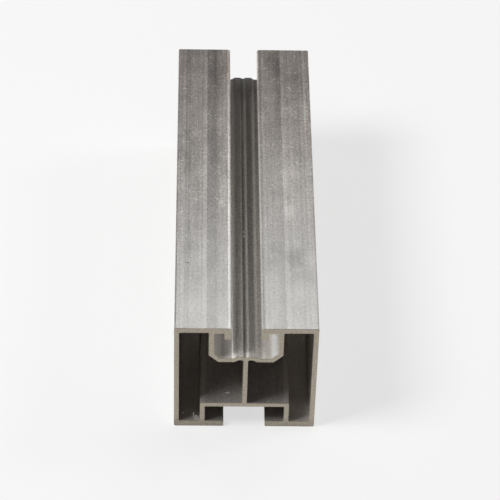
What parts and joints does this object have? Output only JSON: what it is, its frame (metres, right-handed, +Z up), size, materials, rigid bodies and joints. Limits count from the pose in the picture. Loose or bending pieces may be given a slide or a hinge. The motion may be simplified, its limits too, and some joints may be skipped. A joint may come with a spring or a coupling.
{
  "type": "solar mounting rail",
  "caption": "Short length of square extruded aluminium rail with a slotted bolt channel on top, a shallow bolt channel underneath and two side chambers.",
  "frame": {"origin": "the middle of the underside, on the plane that the rail lies on", "axes": "+X across the rail, +Y along it, +Z up, out of the bolt slot"},
  "size_m": [0.04, 0.12, 0.04],
  "materials": {
    "aluminium": "mill finish, matt, with die lines along the rail and sawn ends"
  },
  "bodies": {
    "root": {"mounting_rail": "aluminium"}
  },
  "joints": []
}
